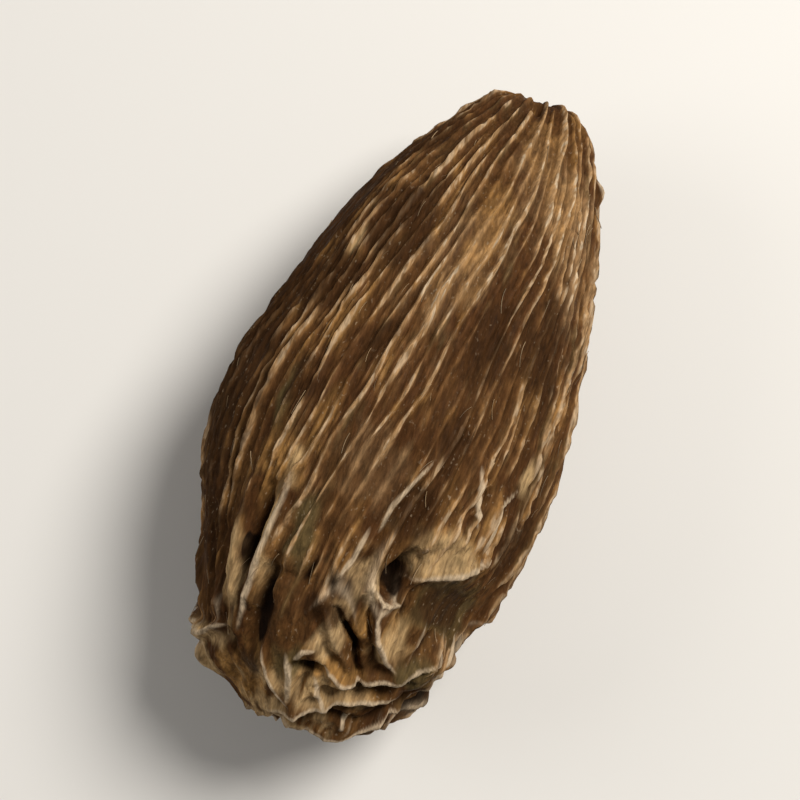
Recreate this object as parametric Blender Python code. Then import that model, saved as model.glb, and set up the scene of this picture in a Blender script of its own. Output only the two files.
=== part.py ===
"""A dried black cardamom pod lying on its side, as one solid.

Metres, +Z up. The stalk end points along +X. The crown end, where the flower's calyx broke off,
points along -X and is crumpled. The origin is on the surface that the pod lies on, under the
middle of the pod's bounding box.
"""

import math

import bmesh
import bpy
import numpy as np
from mathutils import noise

MM = 0.001

# Driving dimensions of the whole pod, before its ribs and folds
POD_LENGTH = 35.2 * MM
POD_WIDTH = 17.6 * MM
POD_DEPTH = 15.6 * MM
BOW = 1.45 * MM
BOW_SPAN = 0.6
FLAT_DEPTH = 0.6 * MM

# The side outline from the stalk scar to the crown scar: share of the length, share of the half width
OUTLINE = (
    (0.034, 0.00),
    (0.012, 0.08),
    (0.000, 0.18),
    (0.010, 0.29),
    (0.040, 0.39),
    (0.110, 0.56),
    (0.194, 0.71),
    (0.305, 0.84),
    (0.417, 0.93),
    (0.533, 1.00),
    (0.640, 0.985),
    (0.722, 0.93),
    (0.806, 0.85),
    (0.885, 0.73),
    (0.945, 0.56),
    (0.985, 0.38),
    (1.000, 0.25),
    (0.985, 0.13),
    (0.950, 0.06),
    (0.940, 0.00),
)
OUTLINE_STEPS = 24

# Fine ribs that run the length of the pod, as shares of their spacing except where a unit is given
RIBS = 64
RIB_HEIGHT = 0.40 * MM
RIB_FULL_SPACING = 0.8 * MM
RIB_CROWDING = (0.34 * MM, 0.70 * MM)
RIB_HALF_WIDTH = 0.21
RIB_TWIST = math.radians(38)
RIB_UNTWISTED = 0.4
RIB_WANDER = 0.7
RIB_JITTER = 0.3
RIB_STRENGTH = (0.55, 0.95, 1.30)
RIB_CONTRAST = 1.1

# The three-sided swell of the pod, and its lumps and broad waves
LOBES = 3
LOBE_SHARE = 0.028
LUMP_HEIGHT = 0.45 * MM
WAVE_HEIGHT = 0.25 * MM
SMOOTH_RADIUS = 3.5 * MM

# The crumpled crown end, from where it starts to where it is full, as shares of the length
CRUMPLE = (0.66, 0.86)
CRUMPLE_EDGE = 0.10
LIPS = (0.80, 0.92)
SLITS_CLOSE = (0.90, 0.96)
SLITS_CLOSED = 0.7
PLEAT_HEIGHT = 0.95 * MM
PLEAT_HALF_WIDTH = 0.36
PLEAT_MIDDLE = 0.4
SLIT_DEPTH = 0.6 * MM
SLIT_HALF_WIDTH = 0.30
LIP_HEIGHT = 0.45 * MM
LIP_HALF_WIDTH = 0.40
CRUMPLE_WARP = 0.5

# Noise over the husk: cells in each radian round the pod, length of a cell along it, place to start
GRAINS = {
    "wander": (3.2, 9 * MM, 0),
    "jitter": (9.0, 3 * MM, 5),
    "strength": (9.0, 8 * MM, 0),
    "lump": (1.4, 9 * MM, 0),
    "wave": (4.2, 13 * MM, 3),
    "edge": (2.0, 1000 * MM, 9),
    "warp": (2.6, 2.6 * MM, 21),
    "pleat": (2.7, 7 * MM, 40),
    "slit": (2.5, 6 * MM, 70),
    "lip": (2.2, 2.4 * MM, 90),
}

# Folds that stand up from the husk: name, points along it as millimetres from the stalk end and degrees
# round the pod (0 is up, 90 is towards -Y), height and half width in millimetres
FOLDS = (
    ("left edge", ((28.2, -88), (30.2, -80), (31.6, -70)), 0.40, 0.45),
    ("left flap", ((31.0, -108), (32.0, -80), (32.4, -67), (32.0, -53), (31.8, -43)), 0.60, 0.48),
    ("left pleat", ((23.4, -36), (25.4, -41), (27.6, -42), (29.5, -42), (31.8, -42)), 0.55, 0.56),
    ("left twin pleat", ((23.8, -23), (26.5, -27), (28.3, -27), (31.6, -31)), 0.60, 0.48),
    ("dish ridge", ((32.0, -21), (33.2, -16), (33.9, -9), (34.3, 0)), 0.45, 0.42),
    ("middle pleat", ((28.6, -1), (29.5, 2), (30.8, 9), (31.6, 18), (32.1, 26)), 0.50, 0.60),
    ("middle twin pleat", ((28.1, 21), (29.1, 22), (30.0, 26), (30.8, 35), (31.1, 42)), 0.70, 0.46),
    ("flap lip", ((26.9, 28), (26.2, 36), (25.6, 43), (24.8, 51), (24.0, 57), (23.2, 64)), 0.60, 0.56),
    ("flap back", ((25.3, 25), (24.1, 36), (24.2, 45)), 0.40, 0.60),
    ("side lip", ((20.6, 57), (22.0, 49), (23.7, 49), (24.4, 49)), 0.40, 0.50),
    ("inner lip", ((31.8, 5), (32.1, 12), (32.5, 22), (32.0, 35), (31.3, 46), (30.5, 51), (29.8, 60)),
     0.55, 0.50),
    ("middle lip", ((35.0, -24), (34.5, 1), (33.7, 26), (32.7, 47), (32.1, 60)), 0.50, 0.50),
    ("under rim", ((35.2, 95), (35.2, 180), (35.2, 260), (35.2, 290)), 0.35, 0.50),
    ("end rim", ((35.2, -60), (35.2, 20), (35.1, 50), (34.2, 57), (33.1, 66), (32.3, 80)), 0.40, 0.50),
)

# Slits cut into the husk: name, points along it as for the folds, depth and half width in millimetres
SLITS = (
    ("long groove", ((24.6, -31), (26.5, -33), (28.3, -35), (29.8, -37)), 0.75, 0.42),
    ("left shade", ((26.5, -62), (28.8, -62), (30.8, -58)), 0.40, 0.46),
    ("dark hollow", ((28.2, -20), (29.4, -22), (30.4, -22), (32.3, -26)), 0.80, 0.50),
    ("narrow slit", ((29.4, 5), (30.0, 10), (30.7, 19), (31.3, 21), (32.4, 31)), 0.70, 0.40),
    ("deep hole", ((26.2, 25), (27.2, 23), (27.9, 22)), 1.20, 0.55),
    ("above the hole", ((22.4, 17), (24.9, 21)), 0.30, 0.55),
    ("small pit", ((32.2, -1), (32.4, 6)), 0.80, 0.50),
    ("side slit", ((21.2, 42), (22.9, 43)), 0.60, 0.40),
    ("band slit", ((33.2, 12), (33.3, 24), (32.8, 34), (32.3, 44), (31.4, 54)), 0.60, 0.40),
    ("pocket", ((35.1, 0), (34.8, 24), (34.4, 34), (34.1, 45)), 0.60, 0.45),
)
FOLD_END_FADE = 0.08
FOLD_FADE_POWER = 0.75

# Broad hollows pressed into the husk: name, millimetres from the stalk end, degrees round the pod, then
# depth, reach along the pod and reach round it in millimetres; a bulge where the depth is below zero
HOLLOWS = (
    ("side dent", 27.6, 56, 0.80, 1.5, 3.0),
    ("left dish", 33.9, -38, 0.50, 1.2, 1.5),
    ("left bulge", 33.4, -66, -0.55, 1.3, 3.0),
    ("right cut", 29.6, 90, 0.70, 1.7, 3.0),
    ("right bulge", 30.8, 65, -0.45, 0.9, 1.8),
    ("low right cut", 32.4, 77, 0.60, 1.1, 2.2),
    ("stalk notch", 0.5, 6, 0.75, 0.7, 0.45),
)
HOLLOW_STEEPNESS = 1.3

# Where the named folds stand, the chance creases and the ribs are calmer: millimetres from the stalk end,
# degrees round the pod, then reach along the pod and reach round it in millimetres
CALM = (
    (32.2, 8, 4.0, 8.0),
    (35.6, 0, 2.2, 12.0),
    (26.9, 52, 2.2, 4.0),
    (28.6, -36, 4.4, 2.4),
    (33.6, -44, 2.6, 3.4),
    (29.5, -84, 3.6, 3.6),
    (9.0, -72, 6.0, 3.6),
    (21.0, 55, 1.5, 1.6),
    (34.6, 180, 2.6, 9.0),
)
CALM_STEEPNESS = 1.6
CALM_CREASES = 0.85
CALM_RIBS = 0.75

# Mesh: each rib has a column of points on its crest and one in its valley, and the rows lie closer
# together in the crumpled end
COLUMNS_PER_RIB = 2
ROWS = 46
CROWN_CLOSENESS = 1.8
CROWN_ROWS = (0.55, 0.85)
SHARP_ANGLE = math.radians(30)

HUSK_COLOUR = (0.130, 0.068, 0.026, 1.0)
HUSK_ROUGHNESS = 0.72


def clear_scene():
    for obj in list(bpy.data.objects):
        bpy.data.objects.remove(obj)


def smooth_step(value, low, high):
    share = np.clip((value - low) / (high - low), 0.0, 1.0)
    return share * share * (3.0 - 2.0 * share)


def grain(name, angle, arc, warp=0.0):
    """Smooth noise from about -1 to 1 over the husk, the same on both sides of its seam."""
    around, cell, start = GRAINS[name]
    places = np.stack([around * np.cos(angle), around * np.sin(angle), start + arc / cell + warp], axis=1)
    return np.array([noise.noise(place) for place in places.tolist()])


def crease(level, half_width):
    """Sharp lines, from 0 beside them to 1 on them, where a noise passes through zero."""
    return np.clip(1.0 - np.abs(level) / half_width, 0.0, 1.0)


def turn_from(angle, degrees):
    """The turn from a place round the pod to each point, between minus and plus half a turn."""
    return (angle - math.radians(degrees) + math.pi) % (2 * math.pi) - math.pi


class Outline:
    """A smooth curve through OUTLINE, read by its length from the stalk scar."""

    def __init__(self):
        mirror = np.array([1.0, -1.0])
        knots = np.array([OUTLINE[1] * mirror, *OUTLINE, OUTLINE[-2] * mirror])
        spans = len(OUTLINE) - 1
        position = np.arange(spans * OUTLINE_STEPS + 1) / OUTLINE_STEPS
        span = np.minimum(position.astype(int), spans - 1)
        t = (position - span)[:, None]
        a, b, c, d = (knots[span + k] for k in range(4))
        bend, twist = 2 * a - 5 * b + 4 * c - d, 3 * b - a - 3 * c + d
        curve = 0.5 * (2 * b + (c - a) * t + bend * t**2 + twist * t**3)
        self.axial_knots = curve[:, 0] * POD_LENGTH
        self.radial_knots = np.maximum(curve[:, 1], 0.0) * POD_WIDTH / 2
        steps = np.hypot(np.diff(self.axial_knots), np.diff(self.radial_knots))
        self.arc_knots = np.concatenate([[0.0], np.cumsum(steps)])

    def arc_of_row(self, row_share):
        """Length along the outline at each share of the rows."""
        share = self.axial_knots[1:] / POD_LENGTH
        weight = np.diff(self.arc_knots) * (1.0 + CROWN_CLOSENESS * smooth_step(share, *CROWN_ROWS))
        total = np.concatenate([[0.0], np.cumsum(weight)])
        return np.interp(row_share, total / total[-1], self.arc_knots)

    def arc_at(self, distance_mm):
        """Length along the outline at a distance from the stalk end, on the outside of the husk."""
        outside = slice(int(np.argmin(self.axial_knots)), int(np.argmax(self.axial_knots)) + 1)
        return np.interp(distance_mm * MM, self.axial_knots[outside], self.arc_knots[outside])

    def read(self, arc):
        """Distance along the axis, distance out from it, and the two parts of the outward direction."""
        axial = np.interp(arc, self.arc_knots, self.axial_knots)
        radial = np.interp(arc, self.arc_knots, self.radial_knots)
        out_radial = np.interp(arc, self.arc_knots, np.gradient(self.axial_knots, self.arc_knots))
        out_axial = -np.interp(arc, self.arc_knots, np.gradient(self.radial_knots, self.arc_knots))
        return axial, radial, out_axial, out_radial


def rib_heights(column_angle, arc, radius):
    """Ribs of uneven strength. Where they crowd together, every second one sinks away."""
    number = np.round(column_angle / (2 * math.pi) * RIBS)
    phase = column_angle / (2 * math.pi) * RIBS - number
    spacing = 2 * math.pi * radius / RIBS
    weakest, usual, strongest = RIB_STRENGTH
    strength = grain("strength", number * 2 * math.pi / RIBS, arc)
    strength = np.clip(usual + RIB_CONTRAST * strength, weakest, strongest)
    strength *= np.clip(4 * spacing / RIB_FULL_SPACING, 0.0, 1.0)
    for step in (2, 4):
        room = smooth_step(step / 2 * spacing, *RIB_CROWDING)
        strength = np.where(number % step == step / 2, strength * room, strength)
        phase = np.where(number % step == 0, phase / (2.0 - room), phase)
    return RIB_HEIGHT * strength * np.exp(-((phase / RIB_HALF_WIDTH) ** 2))


def rib_angle(column_angle, arc, share):
    """Turns each column of points with its rib, which twists a little and wanders from side to side."""
    shift = RIB_WANDER * grain("wander", column_angle, arc) + RIB_JITTER * grain("jitter", column_angle, arc)
    return column_angle - RIB_TWIST * (share - RIB_UNTWISTED) + 2 * math.pi / RIBS * shift


def crumple_heights(angle, arc, share):
    """Pleats and slits that run along the crown end, and lips that run round it."""
    crown = smooth_step(share + CRUMPLE_EDGE * grain("edge", angle, 0 * arc), *CRUMPLE)
    warp = CRUMPLE_WARP * grain("warp", angle, arc)
    pleat = crease(grain("pleat", angle, arc, warp), PLEAT_HALF_WIDTH) - PLEAT_MIDDLE
    slit = crease(grain("slit", angle, arc, -warp), SLIT_HALF_WIDTH)
    slit = slit * (1.0 - SLITS_CLOSED * smooth_step(share, *SLITS_CLOSE))
    lip = crease(grain("lip", angle, arc, warp), LIP_HALF_WIDTH) * smooth_step(share, *LIPS)
    return crown * (PLEAT_HEIGHT * pleat - SLIT_DEPTH * slit + LIP_HEIGHT * lip)


def nearness(angle, arc, radius, path, outline):
    """How far each point lies from a path over the husk, and how much the path fades there."""
    gap = np.full_like(arc, POD_LENGTH)
    along = np.zeros_like(arc)
    for index, ((start_mm, start_turn), (end_mm, end_turn)) in enumerate(zip(path, path[1:])):
        x = arc - outline.arc_at(start_mm)
        y = turn_from(angle, start_turn) * radius
        run_x = outline.arc_at(end_mm) - outline.arc_at(start_mm)
        run_y = math.radians(end_turn - start_turn) * radius
        square = np.maximum(run_x**2 + run_y**2, (1e-3 * MM) ** 2)
        share = np.clip((x * run_x + y * run_y) / square, 0.0, 1.0)
        reach = np.hypot(x - share * run_x, y - share * run_y)
        along = np.where(reach < gap, (index + share) / (len(path) - 1), along)
        gap = np.minimum(gap, reach)
    fade = np.sin(math.pi * (FOLD_END_FADE + (1.0 - 2 * FOLD_END_FADE) * along)) ** FOLD_FADE_POWER
    return gap, fade


def near(angle, arc, radius, outline, distance, degrees, reach_along, reach_round):
    """How far each point lies from a place, squared, as a share of the reaches."""
    x = (arc - outline.arc_at(distance)) / (reach_along * MM)
    y = turn_from(angle, degrees) * radius / (reach_round * MM)
    return x**2 + y**2


def calm_share(angle, arc, radius, outline):
    """How calm the husk is, from 0 to 1."""
    spots = [near(angle, arc, radius, outline, *spot) for spot in CALM]
    return np.max([np.exp(-(spot**CALM_STEEPNESS)) for spot in spots], axis=0)


def fold_heights(angle, arc, radius, outline):
    """The named folds, slits and hollows."""
    height = np.zeros_like(arc)
    for _name, path, rise, half_width in FOLDS:
        gap, fade = nearness(angle, arc, radius, path, outline)
        height += rise * MM * fade * np.exp(-((gap / (half_width * MM)) ** 2))
    for _name, path, depth, half_width in SLITS:
        gap, fade = nearness(angle, arc, radius, path, outline)
        height -= depth * MM * fade * np.exp(-((gap / (half_width * MM)) ** 4))
    for _name, distance, degrees, depth, reach_along, reach_round in HOLLOWS:
        dip = near(angle, arc, radius, outline, distance, degrees, reach_along, reach_round)
        height -= depth * MM * np.exp(-(dip**HOLLOW_STEEPNESS))
    return height


def husk_points(row_share, column_angle):
    """Where each point of the husk lies, with the stalk scar at row 0 and the crown scar at row 1."""
    outline = Outline()
    arc = outline.arc_of_row(row_share)
    axial, radius, out_axial, out_radial = outline.read(arc)
    share = axial / POD_LENGTH
    angle = rib_angle(column_angle, arc, share)

    calm = calm_share(angle, arc, radius, outline)
    swell = LUMP_HEIGHT * grain("lump", angle, arc) + WAVE_HEIGHT * grain("wave", angle, arc)
    creases = (1.0 - CALM_CREASES * calm) * crumple_heights(angle, arc, share)
    ribs = (1.0 - CALM_RIBS * calm) * rib_heights(column_angle, arc, radius)
    rough = (swell + creases) * np.clip(radius / SMOOTH_RADIUS, 0.0, 1.0)
    height = ribs + rough + fold_heights(angle, arc, radius, outline)

    reach = radius * (1.0 + LOBE_SHARE * np.cos(LOBES * angle)) + height * out_radial
    bow = BOW * np.sin(0.5 * math.pi * np.clip(share / BOW_SPAN, 0.0, 1.0))
    x = -(axial + height * out_axial)
    y = bow - reach * np.sin(angle)
    z = reach * np.cos(angle) * POD_DEPTH / POD_WIDTH
    return np.stack([x, y, z], axis=1)


def lay_down(points):
    """Wears the lowest part of the belly flat and sets it on the surface, the middle over the origin."""
    floor = points[:, 2].min() + FLAT_DEPTH
    points[:, 2] = np.maximum(points[:, 2], floor)
    middle = (points.min(axis=0) + points.max(axis=0)) / 2
    return points - np.array([middle[0], middle[1], floor])


def husk_material():
    material = bpy.data.materials.new("dried husk")
    material.use_nodes = True
    shader = material.node_tree.nodes["Principled BSDF"]
    shader.inputs["Base Color"].default_value = HUSK_COLOUR
    shader.inputs["Roughness"].default_value = HUSK_ROUGHNESS
    shader.inputs["Metallic"].default_value = 0.0
    return material


def make_pod(collection):
    """A ball with a pole at each scar, each of its points moved to its place on the husk."""
    ball = bmesh.new()
    bmesh.ops.create_uvsphere(ball, u_segments=RIBS * COLUMNS_PER_RIB, v_segments=ROWS, radius=1.0)
    places = np.array([vertex.co for vertex in ball.verts])
    row_share = np.arccos(np.clip(places[:, 2], -1.0, 1.0)) / math.pi
    column_angle = np.arctan2(places[:, 1], places[:, 0]) % (2 * math.pi)
    points = lay_down(husk_points(row_share, column_angle))
    for vertex, point in zip(ball.verts, points):
        vertex.co = point

    mesh = bpy.data.meshes.new("pod")
    ball.to_mesh(mesh)
    ball.free()
    mesh.shade_smooth()
    mesh.set_sharp_from_angle(angle=SHARP_ANGLE)
    mesh.materials.append(husk_material())
    pod = bpy.data.objects.new("pod", mesh)
    collection.objects.link(pod)
    return pod


def main():
    clear_scene()
    collection = bpy.data.collections.new("black cardamom pod")
    bpy.context.scene.collection.children.link(collection)
    make_pod(collection)


if __name__ == "__main__":
    main()
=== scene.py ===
"""The looks of a dried black cardamom pod: a finely ribbed husk, loose husk fibres and a plain stage."""

import math

import bpy
import numpy as np
from bpy.props import FloatProperty, FloatVectorProperty, IntProperty, PointerProperty
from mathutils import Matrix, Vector, noise


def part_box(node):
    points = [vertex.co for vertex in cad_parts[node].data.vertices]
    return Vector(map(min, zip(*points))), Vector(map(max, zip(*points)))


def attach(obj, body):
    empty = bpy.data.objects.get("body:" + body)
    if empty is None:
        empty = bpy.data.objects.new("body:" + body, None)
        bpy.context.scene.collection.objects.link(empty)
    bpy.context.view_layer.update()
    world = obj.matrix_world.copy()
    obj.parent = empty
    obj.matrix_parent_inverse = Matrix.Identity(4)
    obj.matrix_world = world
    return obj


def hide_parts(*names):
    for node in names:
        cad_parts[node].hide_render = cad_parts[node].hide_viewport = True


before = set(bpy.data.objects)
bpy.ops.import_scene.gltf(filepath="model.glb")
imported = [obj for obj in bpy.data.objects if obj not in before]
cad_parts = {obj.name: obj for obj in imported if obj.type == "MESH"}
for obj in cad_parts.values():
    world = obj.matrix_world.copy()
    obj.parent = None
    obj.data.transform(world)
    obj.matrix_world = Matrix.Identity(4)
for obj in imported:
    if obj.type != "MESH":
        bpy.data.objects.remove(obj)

bl_info = {
    "name": "Black Cardamom Pod",
    "version": (1, 0, 0),
    "blender": (4, 5, 0),
    "location": "3D View > Sidebar > Cardamom",
    "description": "Makes a dried black cardamom pod with its husk, loose fibres and a plain stage",
    "category": "Add Mesh",
}

MM = 0.001
POD_LOW, POD_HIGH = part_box("pod")

# The side outline from the stalk scar to the crown scar: share of the length, share of the half width
OUTLINE = (
    (0.034, 0.00),
    (0.012, 0.08),
    (0.000, 0.18),
    (0.010, 0.29),
    (0.040, 0.39),
    (0.110, 0.56),
    (0.194, 0.71),
    (0.305, 0.84),
    (0.417, 0.93),
    (0.533, 1.00),
    (0.640, 0.985),
    (0.722, 0.93),
    (0.806, 0.85),
    (0.885, 0.73),
    (0.945, 0.56),
    (0.985, 0.38),
    (1.000, 0.25),
    (0.985, 0.13),
    (0.950, 0.06),
    (0.940, 0.00),
)
OUTLINE_STEPS = 24
# The pod's middle bends to one side from the stalk end to this share of the length
BOW_SPAN = 0.6

# Radius at a scar where the ribs start, and where they are full
RIB_SCAR = (0.4 * MM, 3.2 * MM)
# Room for each rib at which every second one has died away, and at which all of them stand
RIB_CROWDING = (0.34 * MM, 0.70 * MM)
# Share of the length where the ribs aren't turned
RIB_UNTWISTED = 0.4
# Sideways wander of the ribs in long and in short waves, as shares of their spacing
RIB_WANDER = 0.7
RIB_JITTER = 0.3
# Weakest, usual and strongest stretch of a rib as shares of its height, and how far chance changes it
RIB_STRENGTH = (0.55, 0.95, 1.30)
RIB_CONTRAST = 1.1

LOBES = 3
LOBE_SHARE = 0.028
LUMP_HEIGHT = 0.45 * MM
WAVE_HEIGHT = 0.25 * MM
# Radius under which the relief fades towards a scar, and the least radius for a crest's sideways lean
SMOOTH_RADIUS = 3.5 * MM
LEAN_RADIUS = 1.5 * MM

# The crumpled crown end, its lips, its closing slits and its rim: from where each starts to where it is
# full, as shares of the length
CRUMPLE = (0.66, 0.86)
LIPS = (0.80, 0.92)
SLITS_CLOSE = (0.90, 0.96)
RIM = (0.92, 0.975)
# How ragged the crumpled end's edge is, as a share of the length
CRUMPLE_EDGE = 0.10
# How far chance bends the creases, in cells of the noise that they follow
CRUMPLE_WARP = 0.5
# Shares of the slits and of the small relief that are gone at the rim
SLITS_CLOSED = 0.7
RIM_SMOOTHNESS = 0.85
# Half widths of the creases, in levels of the noise that they follow
PLEAT_HALF_WIDTH = 0.34
SLIT_HALF_WIDTH = 0.26
LIP_HALF_WIDTH = 0.34
SMALL_PLEAT_HALF_WIDTH = 0.3
SMALL_SLIT_HALF_WIDTH = 0.22
# Share of a pleat's height that lies under the plain husk, and the small creases' share of that height
PLEAT_MIDDLE = 0.4
SMALL_PLEAT = 0.22
SMALL_SLIT = 0.3
PLEAT_LEAN = 0.5 * MM
# Share of the crinkles' height on the body of the pod, and the finest wrinkles' height over the crinkles'
BODY_CRINKLE = 0.25
WRINKLE_SHARE = 1.5
# How dark the painted shade in the slits is, how pale the lips that run round are (a pale papery edge, partly
# a painted highlight), and how sharp a pale crest is
SLIT_SHADE = 0.8
SMALL_SLIT_SHADE = 0.5
LIP_PALENESS_AND_GLINT = 0.7
CREST_SHARPNESS = 3

# Noise over the husk: cells in each radian round the pod, length of a cell along it, place to start
GRAINS = {
    "wander": (3.2, 9 * MM, 0),
    "jitter": (9.0, 3 * MM, 5),
    "strength": (9.0, 8 * MM, 0),
    "lump": (1.4, 9 * MM, 0),
    "wave": (4.2, 13 * MM, 3),
    "edge": (2.0, 1000 * MM, 9),
    "warp": (2.6, 2.6 * MM, 21),
    "pleat": (2.7, 7 * MM, 40),
    "slit": (2.5, 6 * MM, 70),
    "lip": (2.2, 2.4 * MM, 90),
    "lean": (2.2, 5 * MM, 60),
    "small pleat": (6.5, 4 * MM, 120),
    "small slit": (6.0, 3.2 * MM, 150),
    "crinkle": (11.0, 1.1 * MM, 180),
    "patch": (1.6, 7 * MM, 210),
    "wobble": (4.0, 1.8 * MM, 240),
}

# Folds that stand up from the husk: points along it as millimetres from the stalk end and degrees round
# the pod (0 is up, 90 is towards -Y), then height, half width and lean of the crest in millimetres. A crest
# leans to the left of its path for a positive lean, seen with the stalk end behind and the crown ahead.
FOLDS = {
    "left edge": (((28.2, -88), (30.2, -80), (31.6, -70)), 0.36, 0.44, 0.0),
    "left flap": (((31.0, -108), (32.0, -80), (32.4, -67), (32.0, -53), (31.8, -43)), 0.62, 0.28, 0.16),
    "left pleat": (((23.4, -36), (25.4, -41), (27.6, -42), (29.5, -42), (31.8, -42)), 0.55, 0.56, 0.08),
    "left twin pleat": (((23.8, -22), (26.3, -25), (28.4, -27), (30.2, -30), (31.8, -35)), 0.66, 0.42, -0.20),
    "dish ridge": (((32.0, -21), (33.2, -16), (33.9, -9), (34.3, 0)), 0.50, 0.24, 0.0),
    "facet": (((32.0, -8), (32.9, -4), (34.1, -2)), 0.45, 0.36, 0.0),
    "arch lip": (((32.2, -4), (31.6, -1), (31.4, 4)), 0.45, 0.26, 0.0),
    "triangle": (((32.7, 8), (33.5, 13), (34.0, 24)), 0.35, 0.28, 0.0),
    "middle pleat": (((28.6, -1), (29.5, 2), (30.8, 9), (31.6, 18), (32.1, 26)), 0.50, 0.60, 0.0),
    "middle twin pleat": (((28.1, 21), (29.1, 22), (30.0, 26), (30.8, 35), (31.1, 42)), 0.70, 0.30, -0.22),
    "twin facet": (((29.2, 28), (30.4, 39)), 0.40, 0.60, 0.0),
    "hole lip": (((27.9, 15), (28.4, 22), (28.2, 33)), 0.30, 0.22, 0.0),
    "flap lip": (((26.9, 28), (26.2, 36), (25.6, 43), (24.9, 50), (24.4, 55)), 0.60, 0.38, -0.20),
    "flap back": (((25.3, 25), (24.1, 36), (24.2, 45)), 0.40, 0.50, 0.0),
    "side lip": (((20.6, 57), (22.0, 49), (23.7, 49), (24.4, 49)), 0.40, 0.34, 0.08),
    "side twin lip": (((20.4, 36), (22.4, 39), (23.4, 43)), 0.40, 0.32, 0.0),
    "inner lip": (((31.8, 5), (32.1, 12), (32.5, 22), (32.0, 35), (31.3, 46), (30.5, 51), (29.8, 60)),
                  0.60, 0.28, -0.15),
    "middle lip": (((35.0, -24), (34.5, 1), (33.7, 26), (32.7, 47), (32.1, 60)), 0.50, 0.28, -0.10),
    "end rim": (((35.7, -60), (35.7, 20), (35.1, 50), (34.2, 57), (33.1, 66), (32.3, 80)), 0.50, 0.24, 0.0),
    "under rim": (((35.4, 95), (35.5, 180), (35.5, 260), (35.6, 290)), 0.40, 0.26, 0.0),
    "pocket rib": (((33.8, 41), (34.6, 46)), 0.40, 0.20, 0.0),
    "middle rib": (((25.2, 7), (26.9, 5), (28.3, 1)), 0.35, 0.26, 0.0),
    "loose flake": (((3.0, 91), (4.4, 90)), 0.45, 0.16, -0.30),
    "second rib": (((21.0, 19), (23.9, 11), (25.4, 10)), 0.35, 0.26, 0.0),
}
# Slits cut into the husk, each also painted dark with shade inside, as points along them, then depth and half
# width in millimetres
SLITS = {
    "long groove": (((24.6, -31), (26.5, -33), (28.3, -35), (29.8, -37)), 0.85, 0.28),
    "left shade": (((26.5, -62), (28.8, -62), (30.8, -58)), 0.40, 0.44),
    "dark hollow": (((28.2, -20), (29.4, -22), (30.4, -22), (32.3, -26)), 0.85, 0.46),
    "curl slit": (((31.9, -42), (32.6, -43), (33.0, -40)), 0.60, 0.22),
    "purple valley": (((29.2, -3), (30.2, 1), (31.2, 7), (32.0, 17)), 0.30, 0.26),
    "narrow slit": (((29.4, 5), (30.0, 10), (30.7, 19), (31.3, 21), (32.4, 31)), 0.85, 0.20),
    "little slit": (((30.3, 26), (30.8, 31)), 0.50, 0.18),
    "pleat slit": (((28.4, 17), (29.2, 18), (30.2, 23)), 0.50, 0.16),
    "deep hole": (((26.0, 26), (27.2, 22), (27.9, 21)), 1.60, 0.54),
    "above the hole": (((22.4, 17), (24.9, 21)), 0.30, 0.50),
    "small pit": (((32.4, -2), (32.3, 4), (32.2, 9)), 1.30, 0.30),
    "pit slit": (((32.6, 4), (33.2, 2), (33.8, 2)), 0.60, 0.18),
    "side slit": (((21.2, 42), (22.9, 43)), 0.75, 0.24),
    "flap slit": (((24.9, 50), (23.9, 53)), 0.60, 0.20),
    "band slit": (((33.2, 12), (33.3, 24), (32.8, 34), (32.3, 44), (31.4, 54)), 0.85, 0.30),
    "pocket": (((35.2, -14), (35.0, 8), (34.8, 24), (34.4, 34), (34.1, 45)), 0.95, 0.34),
    "second pocket": (((34.0, 52), (33.2, 60)), 0.60, 0.26),
}
# A fold fades towards both its ends as half a wave does: the share of the wave left out at each end, and
# the wave's power
FOLD_END_FADE = 0.08
FOLD_FADE_POWER = 0.75
# Chance change of a fold's width, as a share of it
FOLD_WOBBLE = 0.4
SLIT_STEEPNESS = 4
# A step along a fold counts as at least this long, where the husk's radius is nothing
SHORTEST_RUN = 0.001 * MM
# Half width of a fold's pale edge, partly a painted highlight, as a share of the fold's
EDGE_SHARE = 0.5
# Half width in millimetres past which a fold's edge is only this pale
WIDE_FOLD = 0.42
WIDE_FOLD_PALENESS_AND_GLINT = 0.35

# Broad hollows pressed into the husk: millimetres from the stalk end, degrees round the pod, then depth,
# reach along the pod and reach round it in millimetres; a bulge where the depth is below zero
HOLLOWS = {
    "side dent": (27.6, 56, 0.80, 1.5, 3.0),
    "left dish": (33.9, -38, 0.50, 1.2, 1.5),
    "left bulge": (33.4, -66, -0.55, 1.3, 3.0),
    "right cut": (29.6, 90, 0.70, 1.7, 3.0),
    "right bulge": (30.8, 65, -0.45, 0.9, 1.8),
    "low right cut": (32.4, 77, 0.60, 1.1, 2.2),
    "stalk notch": (0.5, 6, 0.75, 0.7, 0.45),
}
HOLLOW_STEEPNESS = 1.3

# Where the named folds stand, the chance creases and the ribs are calmer: millimetres from the stalk end,
# degrees round the pod, reach along and round in millimetres
CALM = ((32.2, 8, 4.0, 8.0), (35.6, 0, 2.2, 12.0), (26.9, 52, 2.2, 4.0), (28.6, -36, 4.4, 2.4),
        (33.6, -44, 2.6, 3.4), (29.5, -84, 3.6, 3.6), (9.0, -72, 6.0, 3.6), (21.0, 55, 1.5, 1.6),
        (34.6, 180, 2.6, 9.0), (34.6, -84, 1.6, 4.0))
CALM_STEEPNESS = 1.6
# Shares of the chance creases, the crinkles and the ribs that are gone where it is calmest
CALM_CREASES = 0.85
CALM_CRINKLES = 0.6
CALM_RIBS = 0.75
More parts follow.
